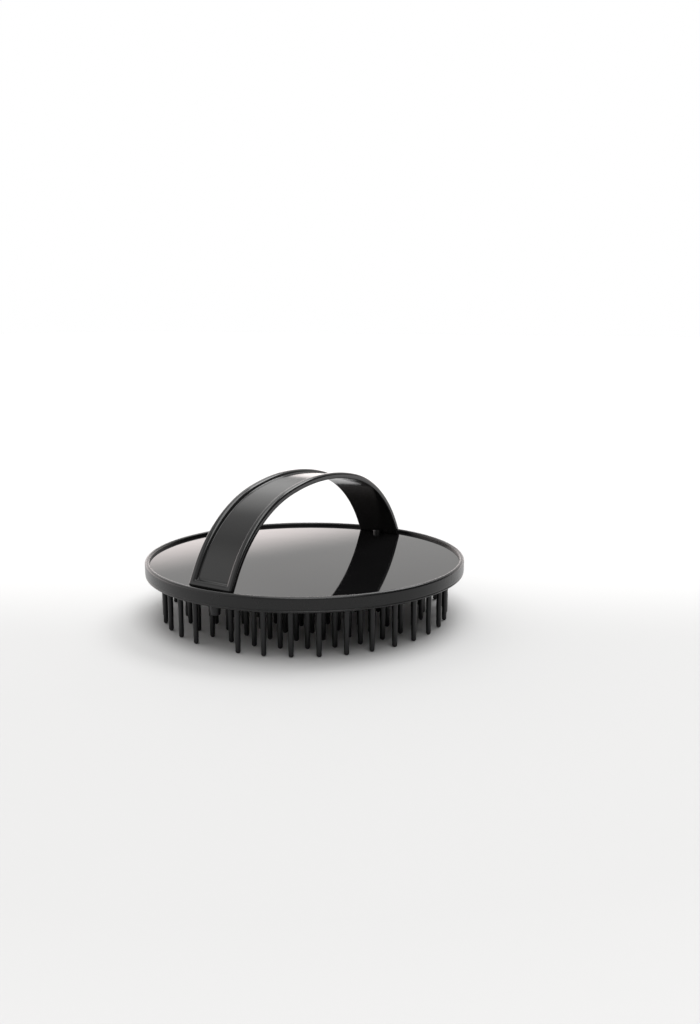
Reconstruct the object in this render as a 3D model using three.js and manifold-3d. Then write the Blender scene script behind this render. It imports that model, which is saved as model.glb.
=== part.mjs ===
// Round palm brush for massaging the scalp: a thin disc with a field of moulded pins below it
// and an arched hand strap above it.
//
// Millimetres, +Z up. The brush stands on its pins: the origin is on the disc's axis, at the height
// of the pin tips. The strap arches over the disc along Y, so the fingers pass under it along X.

import * as THREE from 'three';
import { mergeVertices } from 'three/addons/utils/BufferGeometryUtils.js';
import Module from 'manifold-3d';

const wasm = await Module();
wasm.setup();

// ---- Driving dimensions --------------------------------------------------------------------

// Disc stack, from the pin tips up
const DISC_RADIUS = 45;
const RIM_BOTTOM = 12.8;
const PAD_BOTTOM = 13.2;
const PAD_TOP = 14.6;
const PLATE_TOP = 15.95;
const RIM_TOP = 16.85;
const RIM_WALL = 0.8;
const RIM_BEAD_WIDTH = 1.3;
const EDGE_CLEARANCE = 0.1;
const DISC_FACETS = 60;

// Pin field: one pin in the middle and six rings round it
const RING_PITCH = 6.4;
const FIRST_RING_RADIUS = 8;
const RING_COUNTS = [6, 12, 18, 24, 30, 36];
const PIN_ROOT_RADIUS = 0.76;
const PIN_TIP_RADIUS = 0.66;
const PIN_TIP_FLAT = 0.32;
const PIN_TIP_ROUND = 0.45;
const PIN_FACETS = 8;

// Hand strap: a crown arc, two tighter shoulder arcs and two straight legs
const STRAP_WIDTH = 14;
const STRAP_TOP = 40.4;
const CROWN_RADIUS = 67;
const CROWN_HALF_ANGLE = THREE.MathUtils.degToRad(14.5);
const SHOULDER_RADIUS = 37;
const LEG_ANGLE = THREE.MathUtils.degToRad(62);
const STRAP_THICKNESS = 1.7;
const STRAP_BEAD_WIDTH = 2.0;
const STRAP_RECESS = 0.9;
const STRAP_EDGE_ROUND = 0.45;
const FOOT_BORDER = 1.7;

// Posts that hold the strap down, the bosses at their roots, and the caps on their lower ends
const POST_SPACING = 79;
const POST_RADIUS = 0.9;
const BOSS_RADIUS = 1.3;
const BOSS_HEIGHT = 1.0;
const POST_CLEARANCE = 0.1;
const POST_END = 10.4;
const CAP_ROOT_RADIUS = 1.75;
const CAP_TIP_RADIUS = 1.25;
const CAP_TIP_ROUND = 0.3;
const CAP_END = 9.0;
const CAP_BORE_END = 10.1;
const POST_FACETS = 16;

// ---- Helpers -------------------------------------------------------------------------------

function solid(geometry) {
  const bare = geometry.clone();
  bare.deleteAttribute('normal');
  bare.deleteAttribute('uv');
  const merged = mergeVertices(bare, 1e-4);
  return new wasm.Manifold(new wasm.Mesh({
    numProp: 3,
    vertProperties: new Float32Array(merged.attributes.position.array),
    triVerts: new Uint32Array(merged.index.array),
  }));
}

function geometryOf(manifold) {
  const mesh = manifold.getMesh();
  const geometry = new THREE.BufferGeometry();
  geometry.setAttribute('position', new THREE.BufferAttribute(mesh.vertProperties, 3));
  geometry.setIndex(new THREE.BufferAttribute(mesh.triVerts, 1));
  geometry.computeVertexNormals();
  return geometry;
}

// A solid of revolution about Z from an outline of [radius, height] pairs, listed anticlockwise.
function turned(outline, facets) {
  const points = outline.map(([radius, height]) => new THREE.Vector2(radius, height));
  const geometry = new THREE.LatheGeometry(points, facets);
  geometry.rotateX(Math.PI / 2);
  return geometry;
}

// Points of a rounded corner: part of a circle, with both of its ends.
function corner(radius, height, size, fromDegrees, toDegrees, steps) {
  const points = [];
  for (let i = 0; i <= steps; i += 1) {
    const angle = THREE.MathUtils.degToRad(THREE.MathUtils.lerp(fromDegrees, toDegrees, i / steps));
    points.push([radius + size * Math.cos(angle), height + size * Math.sin(angle)]);
  }
  return points;
}

function named(name, geometry, material) {
  const mesh = new THREE.Mesh(geometry, material);
  mesh.name = name;
  return mesh;
}

function plastic(color, roughness) {
  return new THREE.MeshStandardMaterial({ color, roughness, metalness: 0 });
}

// Calls back with the Y of each strap post.
function eachPost(callback) {
  for (const side of [-1, 1]) callback(side * POST_SPACING / 2);
}

// Cuts the two through holes for the strap posts.
function withPostHoles(body, bottom, top) {
  const margin = 1;
  let result = body;
  eachPost((y) => {
    const radius = POST_RADIUS + POST_CLEARANCE;
    const hole = new THREE.CylinderGeometry(radius, radius, top - bottom + 2 * margin, POST_FACETS);
    hole.rotateX(Math.PI / 2);
    hole.translate(0, y, (top + bottom) / 2);
    result = result.subtract(solid(hole));
  });
  return result;
}

// ---- Pin pad: the lower disc, moulded in one piece with its pins ---------------------------

function pinOutline() {
  return [
    [0, 0],
    [PIN_TIP_FLAT, 0],
    [PIN_TIP_RADIUS, PIN_TIP_ROUND],
    [PIN_ROOT_RADIUS, PAD_BOTTOM],
    [PIN_ROOT_RADIUS, PAD_BOTTOM + 0.4],
    [0, PAD_BOTTOM + 0.4],
  ];
}

// Pin centres. In the outermost ring the two places under the strap's feet hold its caps instead.
function pinCentres() {
  const centres = [[0, 0]];
  RING_COUNTS.forEach((count, ring) => {
    const radius = FIRST_RING_RADIUS + ring * RING_PITCH;
    const outermost = ring === RING_COUNTS.length - 1;
    for (let i = 0; i < count; i += 1) {
      const underStrapFoot = outermost && i % (count / 2) === 0;
      if (underStrapFoot) continue;
      const angle = (i / count) * 2 * Math.PI + Math.PI / 2;
      centres.push([radius * Math.cos(angle), radius * Math.sin(angle)]);
    }
  });
  return centres;
}

function pinPad() {
  const radius = DISC_RADIUS - RIM_WALL - EDGE_CLEARANCE;
  const edgeRound = 0.3;
  const disc = turned([
    [0, PAD_BOTTOM],
    [radius - edgeRound, PAD_BOTTOM],
    [radius, PAD_BOTTOM + edgeRound],
    [radius, PAD_TOP],
    [0, PAD_TOP],
  ], DISC_FACETS);
  const pin = turned(pinOutline(), PIN_FACETS);
  let body = solid(disc);
  for (const [x, y] of pinCentres()) {
    body = body.add(solid(pin.clone().translate(x, y, 0)));
  }
  return geometryOf(withPostHoles(body, PAD_BOTTOM, PAD_TOP));
}

// ---- Top plate: the glossy cover disc under the strap --------------------------------------

function topPlate() {
  const radius = DISC_RADIUS - RIM_WALL - EDGE_CLEARANCE;
  const disc = turned([
    [0, PAD_TOP],
    [radius, PAD_TOP],
    [radius, PLATE_TOP],
    [0, PLATE_TOP],
  ], DISC_FACETS);
  return geometryOf(withPostHoles(solid(disc), PAD_TOP, PLATE_TOP));
}

// ---- Rim ring: wraps the edges of the pad and the plate, with a bead that overlaps the plate

function rimRing() {
  const wallInner = DISC_RADIUS - RIM_WALL;
  const beadInner = DISC_RADIUS - RIM_BEAD_WIDTH;
  const outerRound = RIM_BEAD_WIDTH * 0.55;
  const innerRound = RIM_BEAD_WIDTH * 0.4;
  const outline = [
    ...corner(wallInner + RIM_WALL / 2, RIM_BOTTOM + RIM_WALL / 2, RIM_WALL / 2, -180, 0, 4),
    ...corner(DISC_RADIUS - outerRound, RIM_TOP - outerRound, outerRound, 0, 90, 3),
    ...corner(beadInner + innerRound, RIM_TOP - innerRound, innerRound, 90, 180, 2),
    [beadInner, PLATE_TOP],
    [wallInner, PLATE_TOP],
  ];
  outline.push(outline[0]);
  return turned(outline, DISC_FACETS);
}

// ---- Hand strap ----------------------------------------------------------------------------

// One edge line of the arch in the YZ plane, from the back foot over to the front foot.
// depth is how far it lies inside the strap's outer surface.
function archLine(depth, footHeight) {
  const crownCentre = STRAP_TOP - CROWN_RADIUS;
  const reach = CROWN_RADIUS - SHOULDER_RADIUS;
  const shoulderY = reach * Math.sin(CROWN_HALF_ANGLE);
  const shoulderZ = crownCentre + reach * Math.cos(CROWN_HALF_ANGLE);
  const half = [];
  const addArc = (centreY, centreZ, radius, from, to, steps, first) => {
    for (let i = first; i <= steps; i += 1) {
      const angle = THREE.MathUtils.lerp(from, to, i / steps);
      half.push([centreY + radius * Math.sin(angle), centreZ + radius * Math.cos(angle)]);
    }
  };
  addArc(0, crownCentre, CROWN_RADIUS - depth, 0, CROWN_HALF_ANGLE, 6, 0);
  addArc(shoulderY, shoulderZ, SHOULDER_RADIUS - depth, CROWN_HALF_ANGLE, LEG_ANGLE, 8, 1);
  const [legY, legZ] = half[half.length - 1];
  half.push([legY + (legZ - footHeight) / Math.tan(LEG_ANGLE), footHeight]);
  const mirrored = half.slice(1).reverse().map(([y, z]) => [-y, z]);
  return [...mirrored, ...half];
}

// A band between two depths of the arch, extruded across the strap's width.
function archBand(outerDepth, innerDepth, footHeight, width, edgeRound) {
  const outer = archLine(outerDepth, footHeight);
  const inner = archLine(innerDepth, footHeight).reverse();
  const shape = new THREE.Shape([...outer, ...inner].map(([y, z]) => new THREE.Vector2(y, z)));
  const geometry = new THREE.ExtrudeGeometry(shape, {
    depth: width - 2 * edgeRound,
    bevelEnabled: edgeRound > 0,
    bevelSize: edgeRound,
    bevelOffset: -edgeRound,
    bevelThickness: edgeRound,
    bevelSegments: 1,
  });
  geometry.translate(0, 0, -width / 2 + edgeRound);
  const alongX = new THREE.Matrix4().makeBasis(
    new THREE.Vector3(0, 1, 0),
    new THREE.Vector3(0, 0, 1),
    new THREE.Vector3(1, 0, 0),
  );
  return geometry.applyMatrix4(alongX);
}

function strap() {
  const band = archBand(0, STRAP_THICKNESS, PLATE_TOP, STRAP_WIDTH, STRAP_EDGE_ROUND);
  const recessWidth = STRAP_WIDTH - 2 * STRAP_BEAD_WIDTH;
  const recess = archBand(-STRAP_THICKNESS, STRAP_RECESS, PLATE_TOP + FOOT_BORDER, recessWidth, 0);
  let body = solid(band).subtract(solid(recess));
  const post = turned([
    [0, POST_END],
    [POST_RADIUS, POST_END],
    [POST_RADIUS, PLATE_TOP],
    [BOSS_RADIUS, PLATE_TOP],
    [BOSS_RADIUS, PLATE_TOP + BOSS_HEIGHT],
    [0, PLATE_TOP + BOSS_HEIGHT],
  ], POST_FACETS);
  eachPost((y) => {
    body = body.add(solid(post.clone().translate(0, y, 0)));
  });
  return geometryOf(body);
}

// ---- Strap cap: a tapered cap pushed onto the end of a strap post, under the pad -----------

function strapCap() {
  const bore = POST_RADIUS + POST_CLEARANCE;
  return turned([
    [0, CAP_END],
    [CAP_TIP_RADIUS - CAP_TIP_ROUND, CAP_END],
    [CAP_TIP_RADIUS, CAP_END + CAP_TIP_ROUND],
    [CAP_ROOT_RADIUS, PAD_BOTTOM],
    [bore, PAD_BOTTOM],
    [bore, CAP_BORE_END],
    [0, CAP_BORE_END],
  ], POST_FACETS);
}

// ---- Assembly ------------------------------------------------------------------------------

const satinBlack = plastic(0x1b1b1d, 0.5);
const padBlack = plastic(0x1d1d21, 0.6);
const glossBlack = plastic(0x0b0b0c, 0.08);

const brush = new THREE.Group();
brush.add(
  named('pin_pad', pinPad(), padBlack),
  named('rim_ring', rimRing(), satinBlack.clone()),
  named('top_plate', topPlate(), glossBlack),
  named('hand_strap', strap(), satinBlack.clone()),
);
[['strap_cap_front', -1], ['strap_cap_back', 1]].forEach(([name, side]) => {
  const cap = named(name, strapCap(), padBlack.clone());
  cap.position.y = side * POST_SPACING / 2;
  brush.add(cap);
});

export default brush;
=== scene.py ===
import math

import bmesh
import bpy
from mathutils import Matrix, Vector
from mathutils.geometry import delaunay_2d_cdt


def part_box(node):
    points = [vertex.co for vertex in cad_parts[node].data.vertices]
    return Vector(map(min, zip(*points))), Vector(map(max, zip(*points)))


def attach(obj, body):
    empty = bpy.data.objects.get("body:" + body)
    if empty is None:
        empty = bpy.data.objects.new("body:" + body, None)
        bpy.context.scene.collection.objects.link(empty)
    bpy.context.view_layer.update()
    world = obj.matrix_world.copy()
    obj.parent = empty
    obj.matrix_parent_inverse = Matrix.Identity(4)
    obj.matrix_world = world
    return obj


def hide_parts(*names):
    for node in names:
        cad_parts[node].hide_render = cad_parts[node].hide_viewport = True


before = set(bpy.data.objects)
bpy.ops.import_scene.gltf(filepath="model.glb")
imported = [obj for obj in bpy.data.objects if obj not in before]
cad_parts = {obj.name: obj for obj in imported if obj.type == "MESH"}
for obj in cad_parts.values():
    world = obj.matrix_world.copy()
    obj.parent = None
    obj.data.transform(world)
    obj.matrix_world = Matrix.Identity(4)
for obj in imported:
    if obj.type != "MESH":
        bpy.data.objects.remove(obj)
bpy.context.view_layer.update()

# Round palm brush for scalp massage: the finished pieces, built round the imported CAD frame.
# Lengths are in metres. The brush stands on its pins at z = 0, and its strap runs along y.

MM = 0.001

# ---- Heights and radii, read from the frame ------------------------------------------------

plate_low, plate_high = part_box("top_plate")
rim_low, rim_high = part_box("rim_ring")
strap_low, strap_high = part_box("hand_strap")
cap_low, cap_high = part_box("strap_cap_front")

DISC_RADIUS = rim_high.x
RIM_BOTTOM = rim_low.z
RIM_TOP = rim_high.z
PLATE_RADIUS = plate_high.x
PAD_BOTTOM = cap_high.z
PAD_TOP = plate_low.z
PLATE_TOP = plate_high.z
STRAP_TOP = strap_high.z
STRAP_HALF_WIDTH = strap_high.x
POST_END = strap_low.z
CAP_END = cap_low.z
CAP_ROOT_RADIUS = cap_high.x
POST_Y = -(cap_low.y + cap_high.y) / 2

# ---- Dimensions that the frame doesn't hold ------------------------------------------------

# Rim ring: a thin wall with a bead on top and a rounded lip below. The groove above the lip is a
# list of (depth, height above the middle of the lip's round).
RIM_WALL = 0.8 * MM
RIM_BEAD_WIDTH = 1.3 * MM
RIM_BEAD_OUTER_ROUND = 0.55 * RIM_BEAD_WIDTH
RIM_BEAD_INNER_ROUND = 0.4 * RIM_BEAD_WIDTH
LIP_ROUND = 0.36 * MM
LIP_STRAIGHT = 0.10 * MM
LIP_GROOVE = (
    (0.16 * MM, 0.22 * MM),
    (0.16 * MM, 0.34 * MM),
    (0.03 * MM, 0.48 * MM),
    (0, 0.62 * MM),
)

# Pins: one in the middle of the pad and rings of them round it.
PAD_EDGE_ROUND = 0.3 * MM
RING_PITCH = 6.4 * MM
FIRST_RING_RADIUS = 8 * MM
RING_COUNTS = (6, 12, 18, 24, 30, 36)
PIN_ROOT_RADIUS = 0.76 * MM
PIN_TIP_RADIUS = 0.66 * MM
PIN_TIP_ROUND = 0.6 * MM
PIN_FILLET = 0.35 * MM

# Strap from the side: one arc over the crown, then a shoulder arc and a straight leg each way.
CROWN_RADIUS = 67 * MM
CROWN_HALF_ANGLE = math.radians(14.5)
SHOULDER_RADIUS = 37 * MM
LEG_ANGLE = math.radians(62)

# Strap in section: a recessed panel between two rounded beads. A gentle slope over the whole
# flank of the recess takes the share RECESS_SHOULDER of its depth, and a steep one over the
# inner half takes the rest.
STRAP_THICKNESS = 1.7 * MM
STRAP_RECESS = 0.9 * MM
STRAP_BEAD_ROUND = 0.7 * MM
STRAP_UNDER_ROUND = 0.4 * MM
RECESS_HALF_WIDTH = 5.85 * MM
RECESS_FLANK = 1.15 * MM
RECESS_SHOULDER = 0.4
RECESS_CORNER = 0.8 * MM

# Strap foot: the border below the panel, the round of the lower edge, and how far up the leg the
# outer surface starts to turn under.
FOOT_BORDER = 1.3 * MM
FOOT_ROUND = 0.28 * MM
FOOT_TURN = 1.1 * MM

# Posts under the strap's feet, and the caps pushed on to them.
POST_RADIUS = 0.9 * MM
POST_TIP_ROUND = 0.12 * MM
POST_CLEARANCE = 0.1 * MM
BOSS_RADIUS = 1.3 * MM
BOSS_HEIGHT = 1.0 * MM
BOSS_ROUND = 0.3 * MM
CAP_TIP_RADIUS = 1.25 * MM
CAP_TIP_ROUND = 0.35 * MM
CAP_BEVEL = 0.06 * MM
CAP_BEVEL_HEIGHT = 0.12 * MM
CAP_BORE_END = 10.1 * MM

DISC_SEGMENTS = 192
PIN_SEGMENTS = 20
POST_SEGMENTS = 32
SHARP_ANGLE = math.radians(32)


# ---- Mesh helpers --------------------------------------------------------------------------

def spread(start, end, steps):
    """Even values from start towards end, without end itself."""
    return [start + (end - start) * i / steps for i in range(steps)]


def arc(centre, size, start, end, steps):
    """Points of a circle's arc, angles in degrees, both ends included."""
    points = []
    for i in range(steps + 1):
        angle = math.radians(start + (end - start) * i / steps)
        points.append((centre[0] + size * math.cos(angle), centre[1] + size * math.sin(angle)))
    return points


def ring(bm, radius, height, segments, centre=(0, 0)):
    """Vertices of a level circle, anticlockwise from above."""
    verts = []
    for i in range(segments):
        angle = 2 * math.pi * i / segments
        x = centre[0] + radius * math.cos(angle)
        y = centre[1] + radius * math.sin(angle)
        verts.append(bm.verts.new((x, y, height)))
    return verts


def bridge(bm, loops):
    """Quads between each closed loop and the next; all have the same number of vertices."""
    for first, second in zip(loops, loops[1:]):
        for i in range(len(first)):
            after = (i + 1) % len(first)
            bm.faces.new((first[i], first[after], second[after], second[i]))


def close_to_point(bm, loop, point):
    """Triangles from a loop to one vertex."""
    apex = bm.verts.new(point)
    for i, vert in enumerate(loop):
        bm.faces.new((vert, loop[(i + 1) % len(loop)], apex))


def anticlockwise(loop):
    """The loop, turned round if it runs clockwise seen from above."""
    area = 0
    for i, vert in enumerate(loop):
        after = loop[(i + 1) % len(loop)]
        area += vert.co.x * after.co.y - after.co.x * vert.co.y
    return list(loop) if area > 0 else list(reversed(loop))


def fill_level(bm, outer, holes=()):
    """Triangles over a level region inside one loop and outside the others."""
    inside_outlines, tolerance = 1, 1e-6
    loops = [anticlockwise(loop) for loop in (outer, *holes)]
    verts = [vert for loop in loops for vert in loop]
    outlines, start = [], 0
    for loop in loops:
        outlines.append(list(range(start, start + len(loop))))
        start += len(loop)
    places = [Vector((vert.co.x / MM, vert.co.y / MM)) for vert in verts]
    _, _, triangles, origins, _, owners = delaunay_2d_cdt(
        places, [], outlines, inside_outlines, tolerance,
    )
    for triangle, owner in zip(triangles, owners):
        if owner == [0]:
            bm.faces.new([verts[origins[i][0]] for i in triangle])


def revolve(bm, outline, segments, centre=(0, 0)):
    """A solid of revolution. The outline runs from axis to axis, or closes on itself off it."""
    on_axis = 1e-9
    loops = []
    for radius, height in outline:
        if radius > on_axis:
            loops.append(ring(bm, radius, height, segments, centre))
    if outline[0][0] > on_axis:
        bridge(bm, [*loops, loops[0]])
        return
    bridge(bm, loops)
    close_to_point(bm, loops[0], (*centre, outline[0][1]))
    close_to_point(bm, loops[-1], (*centre, outline[-1][1]))


def as_mesh(bm, name):
    """The bmesh as a mesh datablock, normals outward."""
    bmesh.ops.recalc_face_normals(bm, faces=bm.faces)
    mesh = bpy.data.meshes.new(name)
    bm.to_mesh(mesh)
    bm.free()
    return mesh


def finish_piece(mesh, node, material):
    """The mesh as a smooth object that stands for a CAD node and rides on the one body."""
    mesh.materials.clear()
    mesh.materials.append(material)
    piece = bpy.data.objects.new(node + "_skin", mesh)
    bpy.context.scene.collection.objects.link(piece)
    for polygon in mesh.polygons:
        polygon.use_smooth = True
    mesh.set_sharp_from_angle(angle=SHARP_ANGLE)
    weighted = piece.modifiers.new("weighted_normal", "WEIGHTED_NORMAL")
    weighted.keep_sharp = True
    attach(piece, "root")
    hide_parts(node)


# ---- Node helpers --------------------------------------------------------------------------

def noise_node(tree, place, size, detail):
    """Noise with features of about the given size."""
    noise = tree.nodes.new("ShaderNodeTexNoise")
    noise.inputs["Scale"].default_value = 1 / size
    noise.inputs["Detail"].default_value = detail
    tree.links.new(place, noise.inputs["Vector"])
    return noise.outputs["Fac"]


def along_node(tree, vector, direction):
    """How far a vector reaches along a direction."""
    along = tree.nodes.new("ShaderNodeVectorMath")
    along.operation = "DOT_PRODUCT"
    along.inputs[1].default_value = direction
    tree.links.new(vector, along.inputs[0])
    return along.outputs["Value"]


def ramp_node(tree, value, fade, levels, curve="SMOOTHSTEP"):
    """A value mapped from the range fade to the range levels, and held at both ends."""
    ramp = tree.nodes.new("ShaderNodeMapRange")
    ramp.interpolation_type = curve
    ramp.inputs["From Min"].default_value, ramp.inputs["From Max"].default_value = fade
    ramp.inputs["To Min"].default_value, ramp.inputs["To Max"].default_value = levels
    tree.links.new(value, ramp.inputs["Value"])
    return ramp.outputs["Result"]


# ---- Materials -----------------------------------------------------------------------------

def plastic(name, dark, light, roughness, grain_size, grain_depth, mottle_size):
    """Black moulded plastic: fine surface grain, and slow changes of tone and gloss."""
    material = bpy.data.materials.new(name)
    material.use_nodes = True
    tree = material.node_tree
    shader = tree.nodes["Principled BSDF"]
    place = tree.nodes.new("ShaderNodeTexCoord").outputs["Object"]

    mottle = noise_node(tree, place, mottle_size, detail=4)
    tone = tree.nodes.new("ShaderNodeMix")
    tone.data_type = "RGBA"
    tone.inputs["A"].default_value = (*dark, 1)
    tone.inputs["B"].default_value = (*light, 1)
    tree.links.new(mottle, tone.inputs["Factor"])
    tree.links.new(tone.outputs["Result"], shader.inputs["Base Color"])
    gloss = ramp_node(tree, mottle, (0, 1), roughness, "LINEAR")
    tree.links.new(gloss, shader.inputs["Roughness"])

    bump = tree.nodes.new("ShaderNodeBump")
    bump.inputs["Strength"].default_value = 1
    bump.inputs["Distance"].default_value = grain_depth
    tree.links.new(noise_node(tree, place, grain_size, detail=3), bump.inputs["Height"])
    tree.links.new(bump.outputs["Normal"], shader.inputs["Normal"])
    return material, shader


def pad_material():
    material, shader = plastic(
        "pin_pad_plastic", dark=(0.004, 0.004, 0.0048), light=(0.0065, 0.0065, 0.0076),
        roughness=(0.30, 0.38), grain_size=0.5 * MM, grain_depth=0.004 * MM, mottle_size=9 * MM,
    )
    shader.inputs["Specular IOR Level"].default_value = 0.37
    return material


def rim_material():
    material, shader = plastic(
        "rim_plastic", dark=(0.0035, 0.0035, 0.0037), light=(0.006, 0.006, 0.0062),
        roughness=(0.24, 0.30), grain_size=0.4 * MM, grain_depth=0.0010 * MM, mottle_size=8 * MM,
    )
    shader.inputs["Specular IOR Level"].default_value = 0.36
    return material


def strap_material():
    material, shader = plastic(
        "strap_plastic", dark=(0.006, 0.006, 0.0062), light=(0.009, 0.009, 0.0092),
        roughness=(0.11, 0.16), grain_size=0.45 * MM, grain_depth=0.0008 * MM, mottle_size=10 * MM,
    )
    shader.inputs["Specular IOR Level"].default_value = 0.46
    return material


def plate_material():
    material, shader = plastic(
        "plate_gloss", dark=(0.003, 0.003, 0.0032), light=(0.005, 0.005, 0.0052),
        roughness=(0.02, 0.05), grain_size=14 * MM, grain_depth=0.003 * MM, mottle_size=12 * MM,
    )
    shader.inputs["IOR"].default_value = 1.5
    shader.inputs["Specular Tint"].default_value = (1.0, 0.93, 0.90, 1)
    return material


# ---- Pin pad and top plate -----------------------------------------------------------------

def pin_centres():
    """Pin places: one in the middle and six rings, less the two places under the strap's feet."""
    centres = [(0.0, 0.0)]
    for number, count in enumerate(RING_COUNTS):
        radius = FIRST_RING_RADIUS + number * RING_PITCH
        outermost = number == len(RING_COUNTS) - 1
        for i in range(count):
            if outermost and i % (count // 2) == 0:
                continue
            angle = 2 * math.pi * i / count + math.pi / 2
            centres.append((radius * math.cos(angle), radius * math.sin(angle)))
    return centres


def pin_outline():
    """A pin from the pad down to its rounded end, without the last point on its axis."""
    body_top = PAD_BOTTOM - PIN_FILLET
    outline = arc((PIN_ROOT_RADIUS + PIN_FILLET, body_top), PIN_FILLET, 90, 180, steps=4)
    for share in spread(0, 1, 4)[1:]:
        radius = PIN_ROOT_RADIUS + (PIN_TIP_RADIUS - PIN_ROOT_RADIUS) * share
        outline.append((radius, body_top + (PIN_TIP_ROUND - body_top) * share))
    for angle in spread(0, math.pi / 2, 5):
        outline.append((PIN_TIP_RADIUS * math.cos(angle), PIN_TIP_ROUND * (1 - math.sin(angle))))
    return outline


def post_holes(bm, low, high):
    """Walls of the two holes for the strap's posts; returns their lower and upper loops."""
    lower, upper = [], []
    for y in (-POST_Y, POST_Y):
        lower.append(ring(bm, POST_RADIUS + POST_CLEARANCE, low, POST_SEGMENTS, (0, y)))
        upper.append(ring(bm, POST_RADIUS + POST_CLEARANCE, high, POST_SEGMENTS, (0, y)))
        bridge(bm, [lower[-1], upper[-1]])
    return lower, upper


def build_pin_pad():
    bm = bmesh.new()
    edge_middle = (PLATE_RADIUS - PAD_EDGE_ROUND, PAD_BOTTOM + PAD_EDGE_ROUND)
    outline = arc(edge_middle, PAD_EDGE_ROUND, 270, 360, steps=4)
    outline.append((PLATE_RADIUS, PAD_TOP))
    edge = [ring(bm, radius, height, DISC_SEGMENTS) for radius, height in outline]
    bridge(bm, edge)

    roots = []
    profile = pin_outline()
    for centre in pin_centres():
        loops = [ring(bm, radius, height, PIN_SEGMENTS, centre) for radius, height in profile]
        bridge(bm, loops)
        close_to_point(bm, loops[-1], (*centre, 0))
        roots.append(loops[0])

    lower, upper = post_holes(bm, PAD_BOTTOM, PAD_TOP)
    fill_level(bm, edge[0], roots + lower)
    fill_level(bm, edge[-1], upper)
    finish_piece(as_mesh(bm, "pin_pad"), "pin_pad", pad_material())


def build_top_plate():
    bm = bmesh.new()
    bottom = ring(bm, PLATE_RADIUS, PAD_TOP, DISC_SEGMENTS)
    top = ring(bm, PLATE_RADIUS, PLATE_TOP, DISC_SEGMENTS)
    bridge(bm, [bottom, top])
    lower, upper = post_holes(bm, PAD_TOP, PLATE_TOP)
    fill_level(bm, bottom, lower)
    fill_level(bm, top, upper)
    finish_piece(as_mesh(bm, "top_plate"), "top_plate", plate_material())


# ---- Rim ring ------------------------------------------------------------------------------

def build_rim_ring():
    wall_inner = DISC_RADIUS - RIM_WALL
    bead_inner = DISC_RADIUS - RIM_BEAD_WIDTH
    lip_height = RIM_BOTTOM + LIP_ROUND
    outer_middle = (DISC_RADIUS - RIM_BEAD_OUTER_ROUND, RIM_TOP - RIM_BEAD_OUTER_ROUND)
    inner_middle = (bead_inner + RIM_BEAD_INNER_ROUND, RIM_TOP - RIM_BEAD_INNER_ROUND)
    outline = [
        *arc((wall_inner + LIP_ROUND, lip_height), LIP_ROUND, 180, 360, steps=10),
        (wall_inner + 2 * LIP_ROUND, lip_height + LIP_STRAIGHT),
        *[(DISC_RADIUS - depth, lip_height + above) for depth, above in LIP_GROOVE],
        (DISC_RADIUS, (lip_height + RIM_TOP) / 2),
        *arc(outer_middle, RIM_BEAD_OUTER_ROUND, 0, 90, steps=10),
        *arc(inner_middle, RIM_BEAD_INNER_ROUND, 90, 180, steps=7),
        (bead_inner, PLATE_TOP),
        (wall_inner, PLATE_TOP),
    ]
    bm = bmesh.new()
    revolve(bm, outline, DISC_SEGMENTS)
    finish_piece(as_mesh(bm, "rim_ring"), "rim_ring", rim_material())


# ---- Hand strap ----------------------------------------------------------------------------

def smooth_step(value):
    value = min(max(value, 0), 1)
    return value * value * (3 - 2 * value)


def strap_place(station, depth):
    """(y, z) of a point on one half of the arch, depth inside its outer surface.

    station runs from 0 at the crown to 1 at the shoulder, 2 at the leg and 3 at the foot.
    """
    crown_z = STRAP_TOP - CROWN_RADIUS
    reach = CROWN_RADIUS - SHOULDER_RADIUS
    shoulder_y = reach * math.sin(CROWN_HALF_ANGLE)
    shoulder_z = crown_z + reach * math.cos(CROWN_HALF_ANGLE)
    if station <= 1:
        angle = CROWN_HALF_ANGLE * station
        radius = CROWN_RADIUS - depth
        return radius * math.sin(angle), crown_z + radius * math.cos(angle)
    angle = CROWN_HALF_ANGLE + (LEG_ANGLE - CROWN_HALF_ANGLE) * (min(station, 2) - 1)
    radius = SHOULDER_RADIUS - depth
    y = shoulder_y + radius * math.sin(angle)
    z = shoulder_z + radius * math.cos(angle)
    if station > 2:
        drop = (z - PLATE_TOP) * (station - 2)
        y += drop / math.tan(LEG_ANGLE)
        z -= drop
    return y, z


def recess_depth(across, from_foot):
    """How far the outer surface is sunk: the panel inside the raised border, with round corners."""
    over_side = abs(across) - (RECESS_HALF_WIDTH - RECESS_CORNER)
    over_end = FOOT_BORDER + RECESS_CORNER - from_foot
    outside = math.hypot(max(over_side, 0), max(over_end, 0))
    inside = RECESS_CORNER - outside - min(max(over_side, over_end), 0)
    share = inside / RECESS_FLANK
    gentle = RECESS_SHOULDER * smooth_step(share)
    steep = (1 - RECESS_SHOULDER) * smooth_step(2 * share - 1)
    return STRAP_RECESS * (gentle + steep)


def foot_turn(from_foot):
    """How far the outer surface has turned under, this close to the plate."""
    short = max(FOOT_TURN - from_foot, 0)
    return FOOT_TURN - math.sqrt(FOOT_TURN ** 2 - short ** 2)


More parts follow.
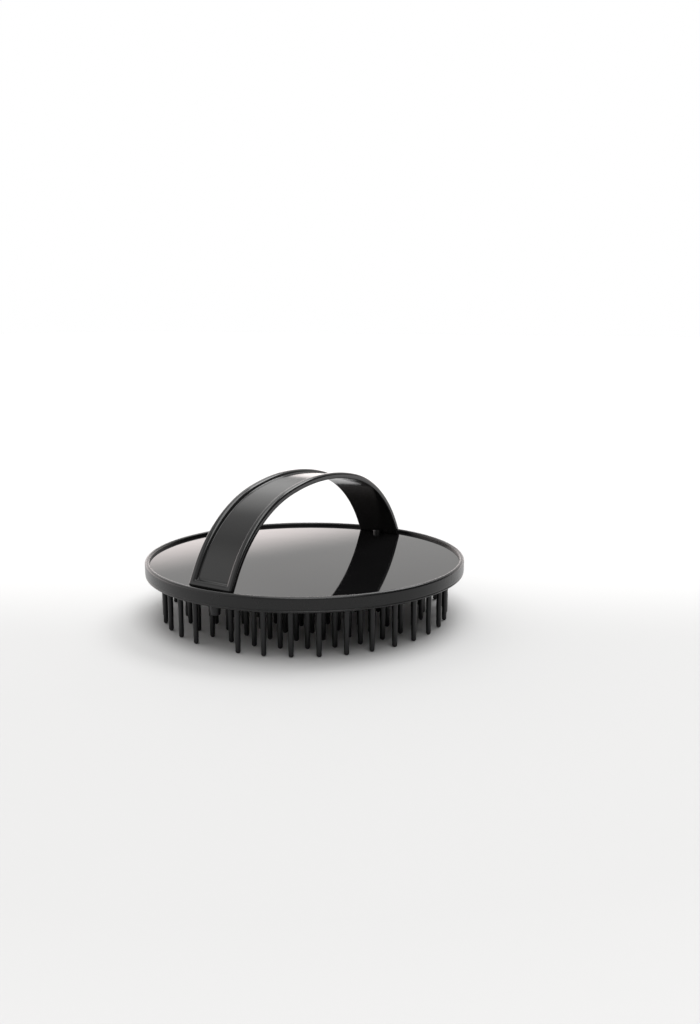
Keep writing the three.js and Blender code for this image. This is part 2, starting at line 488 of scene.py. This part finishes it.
def section_half():
    """(across, depth, on the panel side) points from the middle of the panel round to the
    middle of the underside."""
    margin = 0.08 * MM
    flank_start = RECESS_HALF_WIDTH - RECESS_FLANK - margin
    flank_end = RECESS_HALF_WIDTH + margin
    crest = STRAP_HALF_WIDTH - STRAP_BEAD_ROUND
    panel_side = spread(0, flank_start, 8) + spread(flank_start, flank_end, 14)
    panel_side += spread(flank_end, crest, 4)
    points = [(across, 0, True) for across in panel_side]
    bead = arc((crest, STRAP_BEAD_ROUND), STRAP_BEAD_ROUND, 270, 360, steps=7)
    points += [(across, depth, True) for across, depth in bead]

    under = STRAP_HALF_WIDTH - STRAP_UNDER_ROUND
    under_middle = (under, STRAP_THICKNESS - STRAP_UNDER_ROUND)
    corner = arc(under_middle, STRAP_UNDER_ROUND, 0, 90, steps=6)
    points += [(across, depth, False) for across, depth in corner]
    points += [(across, STRAP_THICKNESS, False) for across in spread(under, 0, 6)[1:] + [0]]
    return points


def leg_length():
    """Length of the straight part of the leg, along its slope."""
    return (strap_place(2, 0)[1] - PLATE_TOP) / math.sin(LEG_ANGLE)


def half_stations():
    """(station, inset) from the crown to the foot; the inset rounds the foot's lower edge."""
    length = leg_length()
    border_start = FOOT_BORDER + RECESS_CORNER + 0.1 * MM
    border_end = FOOT_BORDER - 0.05 * MM
    leg = spread(length, border_start, 5) + spread(border_start, border_end, 22)
    leg += spread(border_end, FOOT_ROUND, 10)
    stations = [(station, 0) for station in spread(0, 1, 28) + spread(1, 2, 44)]
    stations += [(3 - from_foot / length, 0) for from_foot in leg]
    lower_edge = arc((FOOT_ROUND, FOOT_ROUND), FOOT_ROUND, 270, 180, steps=4)
    stations += [(3 - from_foot / length, inset) for from_foot, inset in lower_edge]
    return stations


def strap_loop(bm, station, side, inset):
    """One closed section of the strap; side is -1 towards the front foot and 1 towards the back."""
    from_foot = leg_length() * min(3 - station, 1)
    middle = STRAP_THICKNESS / 2
    half = section_half()
    whole = half + [(-across, depth, top) for across, depth, top in half[-2:0:-1]]
    loop = []
    for across, depth, top in whole:
        if top:
            depth += recess_depth(across, from_foot)
        depth += foot_turn(from_foot) * (1 - depth / STRAP_THICKNESS)
        depth = middle + (depth - middle) * (1 - inset / middle)
        across *= 1 - inset / STRAP_HALF_WIDTH
        y, z = strap_place(station, depth)
        loop.append(bm.verts.new((across, side * y, z)))
    return loop


def joined(body, parts):
    """One closed mesh that is the union of a mesh and the others."""
    scene = bpy.context.scene
    base = bpy.data.objects.new("union_base", body)
    scene.collection.objects.link(base)
    tools = []
    for part in parts:
        tool = bpy.data.objects.new("union_part", part)
        scene.collection.objects.link(tool)
        tools.append(tool)
        union = base.modifiers.new("union", "BOOLEAN")
        union.operation = "UNION"
        union.solver = "EXACT"
        union.object = tool
    evaluated = base.evaluated_get(bpy.context.evaluated_depsgraph_get())
    result = bpy.data.meshes.new_from_object(evaluated)
    for piece in (base, *tools):
        bpy.data.objects.remove(piece)
    return result


def post_mesh(y):
    """A strap post with the boss at its root."""
    boss_top = PLATE_TOP + BOSS_HEIGHT
    tip_middle = (POST_RADIUS - POST_TIP_ROUND, POST_END + POST_TIP_ROUND)
    outline = [
        (0, POST_END),
        *arc(tip_middle, POST_TIP_ROUND, 270, 360, steps=3),
        (POST_RADIUS, PLATE_TOP),
        (BOSS_RADIUS, PLATE_TOP),
        *arc((BOSS_RADIUS - BOSS_ROUND, boss_top - BOSS_ROUND), BOSS_ROUND, 0, 90, steps=5),
        (0, boss_top),
    ]
    bm = bmesh.new()
    revolve(bm, outline, POST_SEGMENTS, (0, y))
    return as_mesh(bm, "strap_post")


def build_hand_strap():
    bm = bmesh.new()
    stations = half_stations()
    front = [strap_loop(bm, station, -1, inset) for station, inset in reversed(stations)]
    back = [strap_loop(bm, station, 1, inset) for station, inset in stations[1:]]
    bridge(bm, front + back)
    fill_level(bm, front[0])
    fill_level(bm, back[-1])
    mesh = joined(as_mesh(bm, "hand_strap"), [post_mesh(-POST_Y), post_mesh(POST_Y)])
    finish_piece(mesh, "hand_strap", strap_material())


# ---- Strap caps ----------------------------------------------------------------------------

def build_strap_cap(node, side, material):
    bore = POST_RADIUS + POST_CLEARANCE
    tip_middle = (CAP_TIP_RADIUS - CAP_TIP_ROUND, CAP_END + CAP_TIP_ROUND)
    outline = [
        (0, CAP_END),
        *arc(tip_middle, CAP_TIP_ROUND, 270, 360, steps=6),
        (CAP_ROOT_RADIUS - CAP_BEVEL, PAD_BOTTOM - CAP_BEVEL_HEIGHT),
        (CAP_ROOT_RADIUS, PAD_BOTTOM),
        (bore, PAD_BOTTOM),
        (bore, CAP_BORE_END),
        (0, CAP_BORE_END),
    ]
    bm = bmesh.new()
    revolve(bm, outline, POST_SEGMENTS, (0, side * POST_Y))
    finish_piece(as_mesh(bm, node), node, material)


# ---- Stage: floor, light, camera -----------------------------------------------------------

# The floor's colour carries painted shade: it is painted darker in front of the brush than behind
# it, and far out a painted glow makes it white, so that it runs out into the white background.
# Distances are from the middle of the brush.
FLOOR_HALF_WIDTH = 4.0
FLOOR_BEHIND = (-0.54, 0.84, 0)
FLOOR_PAINTED_SHADE_FADE = (-0.03, 0.05)
FLOOR_PAINTED_SHADE = (0.53, 0.63)
FLOOR_PAINTED_GLOW_FADE = (0.15, 1.2)

# Studio light by direction: where each soft patch is aimed, the cosines between which it fades
# in, and its brightness. The base shines from everywhere.
STUDIO_BASE = 0.25
OVERHEAD_PATCH = ((0, 0, 1), (-0.2, 0.5), 0.32)
BEHIND_PATCH = ((-0.53, 0.85, 0), (-0.3, 0.5), 0.33)
SIDE_PATCHES = (
    ((-0.61, 0.51, 0.60), (0.90, 0.995), 0.75),
    ((-0.58, -0.69, 0.42), (0.84, 1.0), 0.60),
)
DOME_TINT = (1.0, 0.995, 0.985)

# A bright low band behind the brush. BAND_AIM is nearly straight up, so the band fades out at a
# nearly level line.
BAND_AIM = (0.105, 0.081, 1)
BAND_FADE = (0.204, 0.238)
BAND_STRENGTH = 1.75
BAND_TINT = (1.0, 0.90, 0.88)

# A dark flag to the right of the brush, and the share of the light that gets past it.
FLAG_AIM = (0.85, 0.45, 0.25)
FLAG_FADE = (0.62, 0.86)
FLAG_SHARE = 0.12

# Softboxes: name, place, width, height and power. Each is aimed at the foot of the brush.
SOFTBOXES = (
    ("overhead_softbox", (0.30, -0.25, 2.20), 1.4, 2.8, 40),
    ("back_softbox", (0.22, 1.45, 2.00), 1.7, 0.9, 24),
)

# Camera: its turn to the left of +y and its tilt below level, solved from the photo.
CAMERA_PLACE = (0.1596, -0.2242, 0.0830)
CAMERA_TURN = math.radians(32.8)
CAMERA_TILT = math.radians(11.1)
CAMERA_LENS = 34.8
CAMERA_SENSOR = 36
CAMERA_NEAR = 0.01


def build_floor():
    """A pale floor with painted shade, a little darker in front, and a painted glow that runs it
    out to white far from the brush.
    """
    half = FLOOR_HALF_WIDTH
    mesh = bpy.data.meshes.new("floor")
    corners = [(-half, -half, 0), (half, -half, 0), (half, half, 0), (-half, half, 0)]
    mesh.from_pydata(corners, [], [(0, 1, 2, 3)])
    floor = bpy.data.objects.new("floor", mesh)
    bpy.context.scene.collection.objects.link(floor)
    material = bpy.data.materials.new("floor_paper_painted_shade")
    material.use_nodes = True
    tree = material.node_tree
    shader = tree.nodes["Principled BSDF"]
    shader.inputs["Roughness"].default_value = 0.9
    shader.inputs["Specular IOR Level"].default_value = 0.2
    place = tree.nodes.new("ShaderNodeTexCoord").outputs["Object"]
    # Painted shade: the floor's base colour is darker in front of the brush and paler behind it.
    tone = ramp_node(tree, along_node(tree, place, FLOOR_BEHIND), FLOOR_PAINTED_SHADE_FADE, FLOOR_PAINTED_SHADE)
    tree.links.new(tone, shader.inputs["Base Color"])
    # Painted glow: emission makes the floor white far from the brush.
    reach = tree.nodes.new("ShaderNodeVectorMath")
    reach.operation = "LENGTH"
    tree.links.new(place, reach.inputs[0])
    painted_glow = ramp_node(tree, reach.outputs["Value"], FLOOR_PAINTED_GLOW_FADE, (0, 1), "LINEAR")
    shader.inputs["Emission Color"].default_value = (1, 1, 1, 1)
    tree.links.new(painted_glow, shader.inputs["Emission Strength"])
    mesh.materials.append(material)


def build_sky():
    """A pale studio of soft patches, with a bright low band behind the brush and a dark flag to
    its right. The camera itself sees plain white."""
    world = bpy.data.worlds.new("studio")
    bpy.context.scene.world = world
    world.use_nodes = True
    tree = world.node_tree
    place = tree.nodes.new("ShaderNodeTexCoord").outputs["Generated"]

    def patch(aim, fade, levels):
        return ramp_node(tree, along_node(tree, place, aim), fade, levels)

    def combine(operation, first, second):
        math_node = tree.nodes.new("ShaderNodeMath")
        math_node.operation = operation
        tree.links.new(first, math_node.inputs[0])
        tree.links.new(second, math_node.inputs[1])
        return math_node.outputs["Value"]

    def tinted(value, tint):
        scale = tree.nodes.new("ShaderNodeVectorMath")
        scale.operation = "SCALE"
        scale.inputs[0].default_value = tint
        tree.links.new(value, scale.inputs["Scale"])
        return scale.outputs["Vector"]

    aim, fade, strength = OVERHEAD_PATCH
    dome = patch(aim, fade, (STUDIO_BASE, STUDIO_BASE + strength))
    for aim, fade, strength in (BEHIND_PATCH, *SIDE_PATCHES):
        dome = combine("ADD", dome, patch(aim, fade, (0, strength)))
    behind_aim, behind_fade, _ = BEHIND_PATCH
    below_line = patch(BAND_AIM, BAND_FADE, (BAND_STRENGTH, 0))
    band = combine("MULTIPLY", patch(behind_aim, behind_fade, (0, 1)), below_line)
    flag = patch(FLAG_AIM, FLAG_FADE, (1, FLAG_SHARE))
    dome = combine("MULTIPLY", dome, flag)
    band = combine("MULTIPLY", band, flag)
    total = tree.nodes.new("ShaderNodeVectorMath")
    total.operation = "ADD"
    tree.links.new(tinted(dome, DOME_TINT), total.inputs[0])
    tree.links.new(tinted(band, BAND_TINT), total.inputs[1])

    seen = tree.nodes.new("ShaderNodeMix")
    seen.data_type = "RGBA"
    seen.inputs["B"].default_value = (1, 1, 1, 1)
    camera_ray = tree.nodes.new("ShaderNodeLightPath").outputs["Is Camera Ray"]
    tree.links.new(camera_ray, seen.inputs["Factor"])
    tree.links.new(total.outputs["Vector"], seen.inputs["A"])
    tree.links.new(seen.outputs["Result"], tree.nodes["Background"].inputs["Color"])


def build_softbox(name, place, width, height, power):
    """A large soft light aimed at the foot of the brush."""
    data = bpy.data.lights.new(name, "AREA")
    data.shape = "RECTANGLE"
    data.size = width
    data.size_y = height
    data.energy = power
    light = bpy.data.objects.new(name, data)
    light.location = place
    light.rotation_euler = (-Vector(place)).to_track_quat("-Z", "Y").to_euler()
    bpy.context.scene.collection.objects.link(light)


def build_camera():
    data = bpy.data.cameras.new("camera")
    data.lens = CAMERA_LENS
    data.sensor_width = CAMERA_SENSOR
    data.clip_start = CAMERA_NEAR
    camera = bpy.data.objects.new("camera", data)
    camera.location = CAMERA_PLACE
    camera.rotation_euler = (math.pi / 2 - CAMERA_TILT, 0, CAMERA_TURN)
    bpy.context.scene.collection.objects.link(camera)
    bpy.context.scene.camera = camera


build_camera()
build_floor()
build_sky()
for softbox in SOFTBOXES:
    build_softbox(*softbox)
bpy.context.scene.view_settings.view_transform = "Standard"

build_pin_pad()
build_rim_ring()
build_top_plate()
build_hand_strap()
cap_plastic = pad_material()
build_strap_cap("strap_cap_front", -1, cap_plastic)
build_strap_cap("strap_cap_back", 1, cap_plastic)
